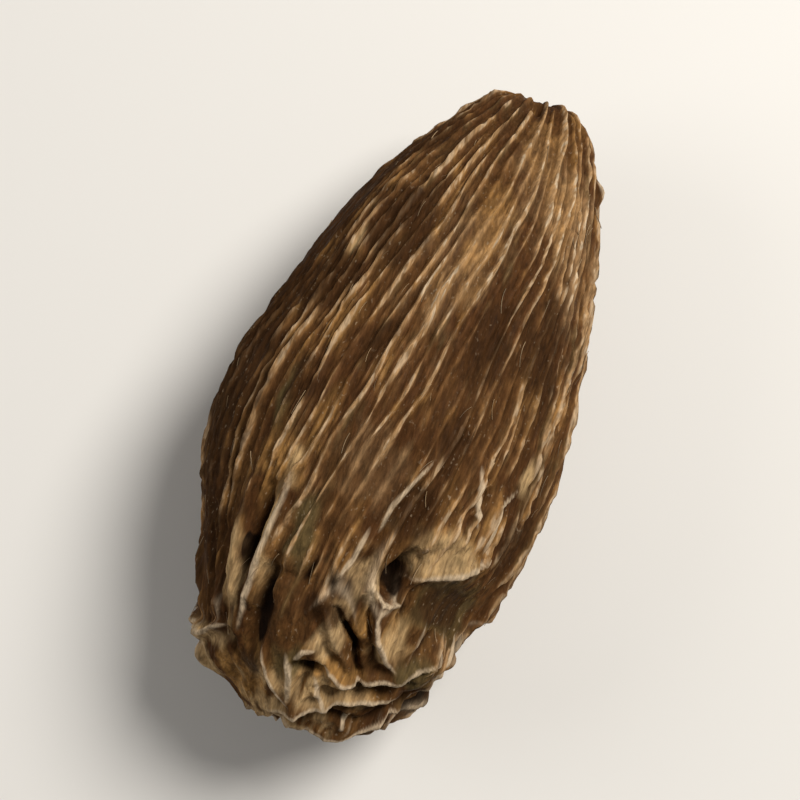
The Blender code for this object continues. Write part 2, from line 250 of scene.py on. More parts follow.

# Patches by the attribute that marks them, in the same four values; worn marks the palest ribs. Ochre and
# olive are the husk's own colour; dark is partly real dark blotches and partly painted shade on the shaded
# left side and in the crown's gaps; sand is partly paler husk and partly painted light on raised pleats and
# along the rim's edge
PATCHES_STAINS_AND_PAINTED_LIGHT = {
    "ochre": ((23.6, -28, 2.2, 2.0), (24.9, 36, 1.5, 2.4), (27.8, -43, 4.2, 0.8), (27.8, -27, 4.2, 0.5),
              (34.0, -42, 1.8, 2.2), (32.9, 10, 1.7, 5.0), (30.0, 33, 1.3, 1.1), (29.8, 16, 1.0, 0.6),
              (3.6, 24, 2.0, 1.2), (9.0, 8, 3.4, 1.0), (6.4, 42, 2.4, 0.8)),
    "olive": ((27.6, 56, 1.5, 2.8), (31.0, 50, 1.0, 1.4), (26.4, -14, 2.4, 0.9), (32.4, -8, 1.2, 1.0),
              (20.4, -36, 1.8, 0.7)),
    "dark": ((7.0, -66, 6.0, 3.6), (30.6, -23, 2.2, 0.8), (18.0, -74, 12.0, 4.4), (33.2, -31, 0.9, 0.8),
             (9.4, -25, 3.2, 2.0), (14.0, -44, 2.4, 2.4), (19.6, -30, 2.2, 1.2), (15.0, 24, 3.0, 1.4),
             (20.0, 24, 1.8, 1.0), (23.8, 20, 1.8, 1.2), (27.6, 54, 1.2, 2.0), (29.8, -1, 0.8, 1.4),
             (23.4, 68, 2.0, 1.8), (26.8, -64, 3.4, 1.6), (13.8, 49, 3.6, 2.0), (16.4, -12, 1.4, 0.8),
             (4.6, -47, 2.0, 1.3), (27.2, 24, 0.9, 0.7), (33.2, 54, 1.2, 1.4)),
    "sand": ((29.0, -42, 3.0, 0.8), (27.4, -27, 3.4, 0.6), (30.4, 7, 1.6, 0.8), (33.4, 4, 1.3, 4.0),
             (30.2, 34, 1.2, 1.0), (25.2, 35, 1.4, 1.8), (32.4, -70, 0.7, 3.0), (27.9, 11, 1.2, 1.0),
             (34.8, 0, 0.9, 3.0), (33.2, 36, 0.9, 1.2), (33.4, -84, 1.2, 2.0),
             (20.0, 60, 1.0, 0.5), (11.6, -40, 0.9, 0.35), (35.2, -32, 0.35, 2.5), (35.2, 28, 0.35, 5.0),
             (24.0, -24, 2.0, 0.6)),
    "worn": ((7.0, 58, 5.0, 2.4), (5.0, 28, 3.4, 2.2), (10.8, 4, 3.6, 1.9), (22.0, -2, 2.2, 1.4),
             (22.8, 9, 1.8, 1.0)),
}
# Spots of painted near-black shade where the crown's gaps are too deep for light
PAINTED_GAP_SHADE = ((27.2, 24, 0.7, 0.55), (32.6, 4, 0.4, 0.4), (31.3, -25, 1.1, 0.45), (28.1, -37, 1.5, 0.30),
         (33.2, 24, 0.3, 1.0))
# Two noises that make a patch ragged, the levels at which it starts and is full, and where it ends for good
RAGGED_PATCH = 0.35
RAGGED_CRINKLE = 0.5
STAIN_EDGE = (0.25, 0.75)
STAIN_END = 0.02

# The husk's points: columns for each rib, rows from pole to pole, and how much closer the rows stand at
# the crown end, from where that starts to where it is full as shares of the length
HUSK_COLUMNS_PER_RIB = 7
HUSK_ROWS = 216
CROWN_CLOSENESS = 1.8
CROWN_ROWS = (0.55, 0.85)

# A rib's section is a sharp crest on a broad back: their shares, and how flat the back is
CREST_SHARE = 0.45
BACK_SHARE = 0.55
BACK_FLATNESS = 0.22
# Half width of the low threads that lie between the ribs, over the ribs' spacing
THREAD_HALF_WIDTH = 0.13
# Noise in the fine relief: length of a cell across and along the pod, detail, place to start
RELIEF_GRAINS = {
    "gap": (0.55 * MM, 1.6 * MM, 2.0, 11.0),
    "thread": (1.3 * MM, 4.0 * MM, 1.0, 23.0),
    "wrinkle": (0.30 * MM, 1.1 * MM, 3.0, 0.0),
}
SEED_STEP = 0.37

# Noise in the husk's colour: length of a cell across and along the pod, detail, place to start
SPECKLES = {
    "broad": (2.6 * MM, 6.5 * MM, 3.0, 0.0),
    "blotch": (1.2 * MM, 4.0 * MM, 3.0, 7.0),
    "streak": (0.22 * MM, 2.6 * MM, 3.0, 3.0),
    "fine": (0.10 * MM, 0.45 * MM, 3.0, 5.0),
    "dash": (0.30 * MM, 0.90 * MM, 1.0, 11.0),
    "grit": (0.24 * MM, 0.75 * MM, 4.0, 13.0),
    "speck": (0.16 * MM, 0.24 * MM, 1.0, 9.0),
}
# How a noise or an attribute turns into an amount: the two levels between which the amount changes, then
# the amount at each level, which is 0 and 1 where none is given
LEVELS = {
    "whole rib": (0.36, 0.60, 0.55, 1.05),
    "thread": (0.42, 0.58, 0.0, 0.60),
    "purple flank": (0.38, 0.62, 0.0, 0.85),
    "ochre flank": (0.48, 0.70, 0.0, 0.60),
    "olive flank": (0.46, 0.34, 0.0, 0.5),
    "flank": (0.14, 0.50),
    "ochre streak": (0.3, 0.6, 0.5, 0.9),
    "ochre blotch": (0.35, 0.60, 0.45, 1.0),
    "ochre rib": (0.10, 0.42, 0.35, 1.0),
    "sand streak": (0.3, 0.6, 0.45, 0.85),
    "scuffed rib": (0.08, 0.45, 0.10, 0.50),
    "worn rib": (0.46, 0.74),
    "worn streak": (0.34, 0.56, 0.35, 1.0),
    "lip": (0.25, 0.75),
    "lip streak": (0.30, 0.60, 0.55, 0.92),
    "rubbed rib": (0.50, 0.80),
    "rubbed dash": (0.46, 0.60),
    "speck": (0.64, 0.76, 0.0, 0.26),
    "speck blotch": (0.46, 0.60, 0.15, 1.0),
    "hole": (0.32, 0.80, 0.0, 0.94),
    "fine shade": (0.25, 0.75, 0.80, 1.16),
    "grit shade": (0.30, 0.70, 0.72, 1.22),
    "fibre": (0.35, 0.65),
}
# Strength of the painted shade in the grooves between the ribs, of the olive patches, of the dark patches
# (partly painted shade) and of the worn crests
VALLEY_SHADE_STRENGTH = 0.75
OLIVE_STRENGTH = 0.85
DARK_STRENGTH = 0.88
WORN_STRENGTH = 0.9
# Strength of the pale dashes on any rib's crest, partly wear and partly painted glints, and what a worn patch
# adds to it
RUBBED_GLINT_STRENGTH = 0.45
RUBBED_GLINT_MORE = 0.45
# Shares of the wear that a dark patch (partly painted shade) hides, and of a hole's painted black shade that
# a raised pleat does
DARK_HIDES = 0.92
SAND_HIDES = 0.8
# Levels of the streaks at which the husk is smoothest and roughest, and by how much it then is
ROUGH_STREAKS = (0.3, 0.7)
SMOOTHER = 0.12
ROUGHER = 0.14
HUSK_SPECULAR = 0.04
BUMP_STRENGTH = 0.65
BUMP_HEIGHT = 0.08 * MM
FINE_BUMP = 0.6

# The fibres stay this near the pod's middle, and this high over the floor
FIBRE_REACH = 15 * MM
FIBRE_FLOOR = 3 * MM
FIBRE_STEPS = 5
FIBRE_SIDES = 3
# One fibre of length 1: its start, the point that bends it, and its raised end
FIBRE_LINE = ((-0.5, 0.0, 0.0), (0.1, 0.12, 0.02), (0.5, 0.0, 0.07))
# Thickness of its tip as a share, its turn off the ribs in radians, and its length as shares of the longest
FIBRE_TIP = 0.15
FIBRE_TURN = 0.5
FIBRE_LENGTHS = (0.3, 1.0)
# Length of the fibres' stretches of colour, and the darkest one's share of the straw colour
FIBRE_PATCH = 1.5 * MM
FIBRE_DARK = 0.35
FIBRE_ROUGHNESS = 0.7

FLOOR_HALF_WIDTH = 0.6
FLOOR_GAP = 0.02 * MM
FLOOR_ROUGHNESS = 0.8
SENSOR_WIDTH = 36.0
NEAREST_SEEN = 1 * MM
# The lights' places from the pod's middle, to the picture's right, to its top and straight up, and sizes
KEY_PLACE = (0.13, 0.07, 0.20)
KEY_SIZE = 0.12
KEY_COLOUR = (1.0, 0.96, 0.90)
FILL_PLACE = (-0.20, 0.02, 0.12)
FILL_SIZE = 0.16
SOFT_COLOUR = (1.0, 0.97, 0.93)


def size_property(name, description, millimetres):
    """A length that a user can change."""
    return FloatProperty(name=name, description=description, default=millimetres * MM, unit="LENGTH",
                         precision=5)


def colour_property(name, description, red, green, blue):
    """A colour that a user can change."""
    return FloatVectorProperty(name=name, description=description, default=(red, green, blue, 1.0),
                               size=4, subtype="COLOR", min=0.0, max=1.0)


class HuskShape(bpy.types.PropertyGroup):
    length: size_property("Length", "Length of the pod before its folds", 35.2)
    width: size_property("Width", "Width of the pod before its ribs", 17.6)
    depth: size_property("Depth", "Depth of the pod before its ribs", 15.6)
    bow: size_property("Bow", "How far the pod's middle bends to one side", 1.45)
    flat: size_property("Flat", "Depth of the worn flat spot that the pod lies on", 0.6)
    ribs: IntProperty(name="Ribs", description="Number of fine ribs round the pod", default=64, min=8, max=80)
    rib_height: size_property("Rib height", "Height of a usual rib over its valleys", 0.38)
    rib_half_width: FloatProperty(
        name="Rib half width", description="Half width of a rib's crest over the spacing", default=0.13,
        subtype="FACTOR", min=0.05, max=0.5)
    rib_twist: FloatProperty(
        name="Rib twist", description="Turn of the ribs from one end to the other",
        default=math.radians(38), subtype="ANGLE")
    pleat_height: size_property("Pleat height", "Height of the crown end's pleats", 0.95)
    slit_depth: size_property("Slit depth", "Depth of the crown end's slits", 0.65)
    lip_height: size_property("Lip height", "Height of the lips that run round the crown end", 0.45)
    crinkle_height: size_property("Crinkle height", "Height of the finest crinkles of the husk", 0.10)
    seed: IntProperty(name="Seed", description="Seed of the fine relief", default=7)


class HuskFinish(bpy.types.PropertyGroup):
    # Painted shade: the dark brown that fills the grooves between the ribs
    shaded_valley: colour_property("Valley", "Dark brown between the ribs", 0.048, 0.0190, 0.0055)
    flank: colour_property("Flank", "Brown of the husk's broad surfaces", 0.150, 0.073, 0.026)
    crest: colour_property("Crest", "Worn tan of the ribs' crests", 0.355, 0.216, 0.104)
    # Pale is partly pale papery edges and specks, and partly a painted highlight on lip edges and rib crests
    pale: colour_property("Pale", "Pale edges of lips and rubbed specks", 0.50, 0.385, 0.258)
    ochre: colour_property("Ochre", "Yellow-brown patches", 0.34, 0.180, 0.056)
    olive: colour_property("Olive", "Grey-green stain in the hollows", 0.088, 0.062, 0.025)
    purple: colour_property("Purple", "Dark purple-brown of the shaded husk", 0.068, 0.028, 0.0105)
    # Sand is partly paler husk and partly painted light on the raised pleats and the rim's edge
    sand: colour_property("Sand", "Pale yellow-brown of the raised pleats", 0.43, 0.290, 0.142)
    # Dark is partly real dark blotches and partly painted shade on the shaded side and in the crown's gaps
    dark: colour_property("Dark", "Brown-black of the darkest patches", 0.036, 0.0150, 0.0048)
    # Hole is painted shade: the near-black of the crown's deepest gaps
    hole: colour_property("Hole", "Near-black of the crown's deepest gaps", 0.008, 0.004, 0.002)
    roughness: FloatProperty(name="Roughness", description="Roughness of the dry husk", default=0.70,
                             subtype="FACTOR", min=0.0, max=1.0)


class FibreLook(bpy.types.PropertyGroup):
    density: FloatProperty(name="Density", description="Fibres on each square metre of husk", default=1.1e5)
    length: size_property("Length", "Length of the longest fibres", 1.4)
    thickness: size_property("Thickness", "Thickness of the longest fibres", 0.05)
    colour: colour_property("Colour", "Straw colour of the loose fibres", 0.40, 0.27, 0.14)
    seed: IntProperty(name="Seed", description="Seed of the fibres' places", default=3)


class StageLook(bpy.types.PropertyGroup):
    floor: colour_property("Floor", "Colour of the pale floor", 0.70, 0.69, 0.67)
    azimuth: FloatProperty(name="Azimuth", description="Turn of the camera round the pod",
                           default=math.radians(-70.6), subtype="ANGLE")
    elevation: FloatProperty(name="Elevation", description="Height of the camera over the horizon",
                             default=math.radians(80.0), subtype="ANGLE")
    lens: FloatProperty(name="Lens", description="Focal length of the camera", default=85.0, unit="CAMERA")
    view_height: size_property("View height", "Height of the view at the pod", 42)
    key: FloatProperty(name="Key light", description="Power of the large soft light", default=0.79,
                       unit="POWER")
    fill: FloatProperty(name="Fill light", description="Power of the weak light opposite", default=0.15,
                        unit="POWER")
    sky: FloatProperty(name="Sky", description="Strength of the even light from all sides", default=0.16)


def smooth_step(value, low, high):
    """A soft rise from 0 at the low value to 1 at the high one."""
    share = np.clip((value - low) / (high - low), 0.0, 1.0)
    return share * share * (3.0 - 2.0 * share)


def grain(name, angle, arc, warp=0.0):
    """Smooth noise from about -1 to 1 over the husk, the same on both sides of its seam."""
    around, cell, start = GRAINS[name]
    places = np.stack([around * np.cos(angle), around * np.sin(angle), start + arc / cell + warp], axis=1)
    return np.array([noise.noise(place) for place in places.tolist()])


def crease(level, half_width):
    """Sharp lines, from 0 beside them to 1 on them, where a noise passes through zero."""
    return np.clip(1.0 - np.abs(level) / half_width, 0.0, 1.0)


def turn_from(angle, degrees):
    """The turn from a place round the pod to each point, between minus and plus half a turn."""
    return (angle - math.radians(degrees) + math.pi) % (2 * math.pi) - math.pi


def end_fade(along):
    """How much of a fold stands at each share of the way along it."""
    return np.sin(math.pi * (FOLD_END_FADE + (1.0 - 2 * FOLD_END_FADE) * along)) ** FOLD_FADE_POWER


class Outline:
    """A smooth curve through OUTLINE, read by its length from the stalk scar."""

    def __init__(self, length, width):
        self.length = length
        mirror = np.array([1.0, -1.0])
        knots = np.array([OUTLINE[1] * mirror, *OUTLINE, OUTLINE[-2] * mirror])
        spans = len(OUTLINE) - 1
        position = np.arange(spans * OUTLINE_STEPS + 1) / OUTLINE_STEPS
        span = np.minimum(position.astype(int), spans - 1)
        t = (position - span)[:, None]
        a, b, c, d = (knots[span + k] for k in range(4))
        bend, twist = 2 * a - 5 * b + 4 * c - d, 3 * b - a - 3 * c + d
        curve = 0.5 * (2 * b + (c - a) * t + bend * t**2 + twist * t**3)
        self.axial_knots = curve[:, 0] * length
        self.radial_knots = np.maximum(curve[:, 1], 0.0) * width / 2
        steps = np.hypot(np.diff(self.axial_knots), np.diff(self.radial_knots))
        self.arc_knots = np.concatenate([[0.0], np.cumsum(steps)])

    def arc_of_row(self, row_share):
        """Length along the outline at each share of the rows."""
        share = self.axial_knots[1:] / self.length
        weight = np.diff(self.arc_knots) * (1.0 + CROWN_CLOSENESS * smooth_step(share, *CROWN_ROWS))
        total = np.concatenate([[0.0], np.cumsum(weight)])
        return np.interp(row_share, total / total[-1], self.arc_knots)

    def arc_at(self, distance_mm):
        """Length along the outline at a distance from the stalk end, on the outside of the husk."""
        outside = slice(int(np.argmin(self.axial_knots)), int(np.argmax(self.axial_knots)) + 1)
        return np.interp(distance_mm * MM, self.axial_knots[outside], self.arc_knots[outside])

    def read(self, arc):
        """Distance along the axis, distance out from it, and the two parts of the outward direction."""
        axial = np.interp(arc, self.arc_knots, self.axial_knots)
        radial = np.interp(arc, self.arc_knots, self.radial_knots)
        out_radial = np.interp(arc, self.arc_knots, np.gradient(self.axial_knots, self.arc_knots))
        out_axial = -np.interp(arc, self.arc_knots, np.gradient(self.radial_knots, self.arc_knots))
        return axial, radial, out_axial, out_radial


class Husk:
    """The husk's form as a formula: heights, sideways leans and stains at each point of a ball."""

    def __init__(self, shape, row_share, column_angle):
        self.shape = shape
        self.outline = Outline(shape.length, shape.width)
        self.arc = self.outline.arc_of_row(row_share)
        self.axial, self.radius, self.out_axial, self.out_radial = self.outline.read(self.arc)
        self.share = self.axial / shape.length
        self.spacing = 2 * math.pi / shape.ribs
        self.number = np.round(column_angle / self.spacing)
        self.phase = column_angle / self.spacing - self.number
        self.widen_ribs()
        shift = RIB_WANDER * grain("wander", column_angle, self.arc)
        shift += RIB_JITTER * grain("jitter", column_angle, self.arc)
        turn = -shape.rib_twist * (self.share - RIB_UNTWISTED)
        self.angle = column_angle + turn + self.spacing * shift
        self.ragged = (RAGGED_PATCH * grain("patch", self.angle, self.arc)
                       + RAGGED_CRINKLE * grain("crinkle", self.angle, self.arc))
        self.height, self.ahead, self.across, self.gap_shade, self.lip = np.zeros((5, len(self.arc)))
        self.room = np.clip(self.radius / SMOOTH_RADIUS, 0.0, 1.0)
        self.calm = np.max([np.exp(-(self.near(*spot) ** CALM_STEEPNESS)) for spot in CALM], axis=0)
        self.rim_fade = 1.0 - RIM_SMOOTHNESS * smooth_step(self.share, *RIM)
        self.swell()
        self.crumple()
        self.fold()

    def widen_ribs(self):
        """Every second rib dies away where the ribs crowd together, and the ones between grow wider."""
        self.kept = np.ones_like(self.arc)
        for step in (2, 4):
            room = smooth_step(step / 2 * self.spacing * self.radius, *RIB_CROWDING)
            dying = self.number % step == step / 2
            staying = self.number % step == 0
            self.kept = np.where(dying, self.kept * room, self.kept)
            self.phase = np.where(staying, self.phase / (2.0 - room), self.phase)

    def swell(self):
        """Broad lumps, and waves a few ribs wide."""
        lumps = LUMP_HEIGHT * grain("lump", self.angle, self.arc)
        waves = WAVE_HEIGHT * grain("wave", self.angle, self.arc)
        self.height += (lumps + waves) * self.room

    def crumple(self):
        """Pleats and slits that run along the crown end, lips that run round it, and small creases."""
        shape, angle, arc = self.shape, self.angle, self.arc
        edge = CRUMPLE_EDGE * grain("edge", angle, 0 * arc)
        self.crown = smooth_step(self.share + edge, *CRUMPLE)
        warp = CRUMPLE_WARP * grain("warp", angle, arc)
        pleat = crease(grain("pleat", angle, arc, warp), PLEAT_HALF_WIDTH)
        slit = crease(grain("slit", angle, arc, -warp), SLIT_HALF_WIDTH)
        slit *= 1.0 - SLITS_CLOSED * smooth_step(self.share, *SLITS_CLOSE)
        lip = crease(grain("lip", angle, arc, warp), LIP_HALF_WIDTH) * smooth_step(self.share, *LIPS)
        small_pleat = crease(grain("small pleat", angle, arc, warp), SMALL_PLEAT_HALF_WIDTH)
        small_slit = crease(grain("small slit", angle, arc, -warp), SMALL_SLIT_HALF_WIDTH)
        rise = shape.pleat_height * (pleat - PLEAT_MIDDLE) - shape.slit_depth * slit + shape.lip_height * lip
        rise += shape.pleat_height * (SMALL_PLEAT * small_pleat - SMALL_SLIT * small_slit) * self.rim_fade
        crinkle = shape.crinkle_height * grain("crinkle", angle, arc)
        chance = self.crown * (1.0 - CALM_CREASES * self.calm)
        on_body = BODY_CRINKLE + (1.0 - BODY_CRINKLE) * self.crown
        crinkle *= on_body * (1.0 - CALM_CRINKLES * self.calm) * self.rim_fade
        self.height += (chance * rise + crinkle) * self.room
        lean = grain("lean", angle, arc)
        self.across += PLEAT_LEAN * chance * self.room * pleat * lean
        # Painted shade in the slits
        self.gap_shade += chance * (SLIT_SHADE * slit + SMALL_SLIT_SHADE * small_slit)
        # Pale crests of the pleats and lips, partly a painted highlight
        self.lip += chance * np.maximum(pleat**CREST_SHARPNESS, LIP_PALENESS_AND_GLINT * lip**CREST_SHARPNESS)

    def nearness(self, path):
        """Distance to a path over the husk, share of the way along it, and the direction to its left."""
        gap = np.full_like(self.arc, self.shape.length)
        along = np.zeros_like(self.arc)
        left_x = np.zeros_like(self.arc)
        left_y = np.zeros_like(self.arc)
        for index, ((start_mm, start_turn), (end_mm, end_turn)) in enumerate(zip(path, path[1:])):
            x = self.arc - self.outline.arc_at(start_mm)
            y = turn_from(self.angle, start_turn) * self.radius
            run_x = self.outline.arc_at(end_mm) - self.outline.arc_at(start_mm)
            run_y = math.radians(end_turn - start_turn) * self.radius
            length = np.maximum(np.hypot(run_x, run_y), SHORTEST_RUN)
            share = np.clip((x * run_x + y * run_y) / length**2, 0.0, 1.0)
            reach = np.hypot(x - share * run_x, y - share * run_y)
            nearer = reach < gap
            along = np.where(nearer, (index + share) / (len(path) - 1), along)
            left_x = np.where(nearer, -run_y / length, left_x)
            left_y = np.where(nearer, run_x / length, left_y)
            gap = np.minimum(gap, reach)
        return gap, along, left_x, left_y

    def near(self, distance, degrees, reach_along, reach_round):
        """How far each point is from a place, as a share of the reaches."""
        x = (self.arc - self.outline.arc_at(distance)) / (reach_along * MM)
        y = turn_from(self.angle, degrees) * self.radius / (reach_round * MM)
        return x**2 + y**2

    def fold(self):
        """The named folds, slits and hollows."""
        wobble = 1.0 + FOLD_WOBBLE * grain("wobble", self.angle, self.arc)
        for path, rise, half_width, lean in FOLDS.values():
            gap, along, left_x, left_y = self.nearness(path)
            crest = end_fade(along) * np.exp(-((gap / (half_width * wobble * MM)) ** 2))
            self.height += rise * MM * crest
            self.ahead += lean * MM * crest * left_x
            self.across += lean * MM * crest * left_y
            # A fold's pale edge, partly a painted highlight
            edge = end_fade(along) * np.exp(-((gap / (EDGE_SHARE * half_width * MM)) ** 2))
            paleness = WIDE_FOLD_PALENESS_AND_GLINT if half_width > WIDE_FOLD else 1.0
            self.lip = np.maximum(self.lip, edge * paleness)
        for path, depth, half_width in SLITS.values():
            gap, along, _left_x, _left_y = self.nearness(path)
            cut = end_fade(along) * np.exp(-((gap / (half_width * wobble * MM)) ** SLIT_STEEPNESS))
            self.height -= depth * MM * cut
            # Painted shade inside each slit
            self.gap_shade = np.maximum(self.gap_shade, cut * min(1.0, depth))
        for distance, degrees, depth, reach_along, reach_round in HOLLOWS.values():
            dip = np.exp(-(self.near(distance, degrees, reach_along, reach_round) ** HOLLOW_STEEPNESS))
            self.height -= depth * MM * dip

    def ragged_patches(self, patches):
        """Soft patches with ragged edges, for the husk's own colours and for the painted shade and light
        listed with them.
        """
        amount = np.max([np.exp(-self.near(*patch)) for patch in patches], axis=0)
        return smooth_step(amount + self.ragged, *STAIN_EDGE) * (amount > STAIN_END)

    def rib_strength(self):
        """The ribs' height at each point, as a share of the usual height."""
        weakest, usual, strongest = RIB_STRENGTH
        strength = grain("strength", self.number * self.spacing, self.arc)
        strength = np.clip(usual + RIB_CONTRAST * strength, weakest, strongest)
        room = self.kept * smooth_step(self.radius, *RIB_SCAR)
        return strength * room * (1.0 - CALM_RIBS * self.calm) * self.rim_fade

    def turn(self):
        """The place round the pod of each point, with the sideways lean of the crests."""
        return self.angle + self.across / np.maximum(self.radius, LEAN_RADIUS)

    def outward(self):
        """The direction in which the ribs rise at each point."""
        flatness = self.shape.depth / self.shape.width
        turn = self.turn()
        y = -self.out_radial * np.sin(turn)
        z = self.out_radial * np.cos(turn) * flatness
        return np.stack([-self.out_axial, y, z], axis=1)

    def points(self):
        """The place of each point, with the crown end towards -X and the pod's top towards +Z."""
        turn = self.turn()
        radius = self.radius - self.ahead * self.out_axial
        reach = radius * (1.0 + LOBE_SHARE * np.cos(LOBES * self.angle)) + self.height * self.out_radial
        bow = self.shape.bow * np.sin(0.5 * math.pi * np.clip(self.share / BOW_SPAN, 0.0, 1.0))
        x = -(self.axial + self.ahead * self.out_radial + self.height * self.out_axial)
        y = bow - reach * np.sin(turn)
        z = reach * np.cos(turn) * self.shape.depth / self.shape.width
        return np.stack([x, y, z], axis=1)


class Tree:
    """Adds nodes to a node tree in few words. An input is a value, or a socket to link from."""

    def __init__(self, tree):
        self.tree = tree

    def add(self, kind, *inputs, out=0, named=None, **settings):
        """Adds a node, its inputs in order or by name, and returns one of its outputs."""
        made = self.tree.nodes.new(kind)
        for name, value in settings.items():
            setattr(made, name, value)
        for key, value in [*enumerate(inputs), *(named or {}).items()]:
            if value is None:
                continue
            if isinstance(value, bpy.types.NodeSocket):
                self.tree.links.new(value, made.inputs[key])
            else:
                made.inputs[key].default_value = value
        return made.outputs[out]

    def math(self, operation, *inputs):
        return self.add("ShaderNodeMath", *inputs, operation=operation)

    def product(self, first, *others):
        """All the values multiplied together."""
        for other in others:
            first = self.math("MULTIPLY", first, other)
        return first

    def rest(self, value, share):
        """What is left of one when a share of a value is taken from it."""
        return self.math("SUBTRACT", 1.0, self.product(value, share))

    def between(self, value, low, high, start=0.0, end=1.0):
        """A soft change from the start at the low value to the end at the high one."""
        return self.add("ShaderNodeMapRange", value, low, high, start, end, interpolation_type="SMOOTHSTEP")

    def amount(self, value, name):
        """The amount that a level stands for, by its name in LEVELS."""
        return self.between(value, *LEVELS[name])

    def position(self):
        """The three coordinates of each point."""
        parts = self.tree.nodes.new("ShaderNodeSeparateXYZ")
        self.tree.links.new(self.add("GeometryNodeInputPosition"), parts.inputs[0])
        return parts.outputs

    def mix(self, amount, first, second, blend="MIX"):
        """A mix of two colours."""
        return self.add("ShaderNodeMix", amount, named={6: first, 7: second}, out=2, data_type="RGBA",
                        blend_type=blend)


def new_material(name):
    """A material, the tree of its nodes and its shader."""
    material = bpy.data.materials.new(name)
    material.use_nodes = True
    return material, Tree(material.node_tree), material.node_tree.nodes["Principled BSDF"]


def geometry_tree(name, *inputs):
    """A geometry node tree with a geometry input and output, and one input for each (name, kind)."""
    tree = bpy.data.node_groups.new(name, "GeometryNodeTree")
    tree.interface.new_socket("Geometry", in_out="INPUT", socket_type="NodeSocketGeometry")
    for socket, kind in inputs:
        tree.interface.new_socket(socket, in_out="INPUT", socket_type="NodeSocket" + kind)
    tree.interface.new_socket("Geometry", in_out="OUTPUT", socket_type="NodeSocketGeometry")
    start = tree.nodes.new("NodeGroupInput")
    return Tree(tree), {socket.name: socket for socket in start.outputs if socket.name}


def finish_tree(nodes, geometry, material):
    """Ends a tree with its instances made real and its material set."""
    realized = nodes.add("GeometryNodeRealizeInstances", geometry)
    finished = nodes.add("GeometryNodeSetMaterial", realized, named={"Material": material})
    end = nodes.tree.nodes.new("NodeGroupOutput")
    nodes.tree.links.new(finished, end.inputs[0])


def run_tree(name, mesh, nodes, values):
    """Runs a geometry node tree on a mesh and returns the plain mesh that it makes."""
    carrier = bpy.data.objects.new(name, mesh)
    bpy.context.scene.collection.objects.link(carrier)
    modifier = carrier.modifiers.new(name, "NODES")
    modifier.node_group = nodes.tree
    for item in nodes.tree.interface.items_tree:
        if item.item_type == "SOCKET" and item.in_out == "INPUT" and item.name in values:
            modifier[item.identifier] = values[item.name]
    graph = bpy.context.evaluated_depsgraph_get()
    result = bpy.data.meshes.new_from_object(carrier.evaluated_get(graph), depsgraph=graph)
    bpy.data.objects.remove(carrier)
    result.name = name
    return result


def ball_mesh(columns, rows):
    """A ball of quads with a pole at each end."""
    nodes, start = geometry_tree("Husk ball", ("Columns", "Int"), ("Rows", "Int"))
    ball = nodes.add("GeometryNodeMeshUVSphere", start["Columns"], start["Rows"], 1.0)
    end = nodes.tree.nodes.new("NodeGroupOutput")
    nodes.tree.links.new(ball, end.inputs[0])
    return run_tree("husk_ball", bpy.data.meshes.new("empty"), nodes, {"Columns": columns, "Rows": rows})


def relief_tree():
    """Raises the ribs and the finest wrinkles out of the husk, and keeps it over the surface it lies on."""
    nodes, start = geometry_tree(
        "Husk relief", ("Rib height", "Float"), ("Rib half width", "Float"), ("Wrinkle height", "Float"),
        ("Seed", "Int"), ("Finish", "Material"))
    place = nodes.add("GeometryNodeInputPosition")
    seed = nodes.product(start["Seed"], SEED_STEP)

    def named(name, kind="FLOAT"):
        return nodes.add("GeometryNodeInputNamedAttribute", named={"Name": name}, data_type=kind)

    def relief_grain(name):
        across, along, detail, first = RELIEF_GRAINS[name]
        cells = nodes.add("ShaderNodeVectorMath", place, (1 / along, 1 / across, 1 / across),
                          operation="MULTIPLY")
        return nodes.add("ShaderNodeTexNoise", cells, nodes.math("ADD", seed, first), 1.0, detail,
                         noise_dimensions="4D")

    phase = nodes.math("DIVIDE", named("phase"), start["Rib half width"])
    square = nodes.product(phase, phase)
    sharp = nodes.math("EXPONENT", nodes.product(square, -1.0))
    back = nodes.math("EXPONENT", nodes.product(square, -BACK_FLATNESS))
    bell = nodes.math("ADD", nodes.product(sharp, CREST_SHARE), nodes.product(back, BACK_SHARE))
    from_valley = nodes.math("SUBTRACT", 0.5, nodes.math("ABSOLUTE", named("phase")))
    beside = nodes.math("DIVIDE", from_valley, THREAD_HALF_WIDTH)
    thread = nodes.math("EXPONENT", nodes.product(nodes.product(beside, beside), -1.0))
    thread = nodes.product(thread, nodes.amount(relief_grain("thread"), "thread"))
    ridge = nodes.product(nodes.math("MAXIMUM", bell, thread), named("strength"))
    crest = nodes.product(ridge, nodes.amount(relief_grain("gap"), "whole rib"))
    wrinkle = nodes.product(nodes.math("SUBTRACT", relief_grain("wrinkle"), 0.5), start["Wrinkle height"])
    rise = nodes.math("MULTIPLY_ADD", crest, start["Rib height"], wrinkle)
    offset = nodes.add("ShaderNodeVectorMath", named("outward", "FLOAT_VECTOR"), operation="SCALE",
                       named={"Scale": rise})
    raised = nodes.add("GeometryNodeSetPosition", start["Geometry"], named={"Offset": offset})
    marked = nodes.add("GeometryNodeStoreNamedAttribute", raised, named={"Name": "crest", "Value": crest},
                       data_type="FLOAT", domain="POINT")
    x, y, z = nodes.position()
    floored = nodes.add("ShaderNodeCombineXYZ", x, y, nodes.math("MAXIMUM", z, 0.0))
    laid = nodes.add("GeometryNodeSetPosition", marked, named={"Position": floored})
    finish_tree(nodes, laid, start["Finish"])
    return nodes


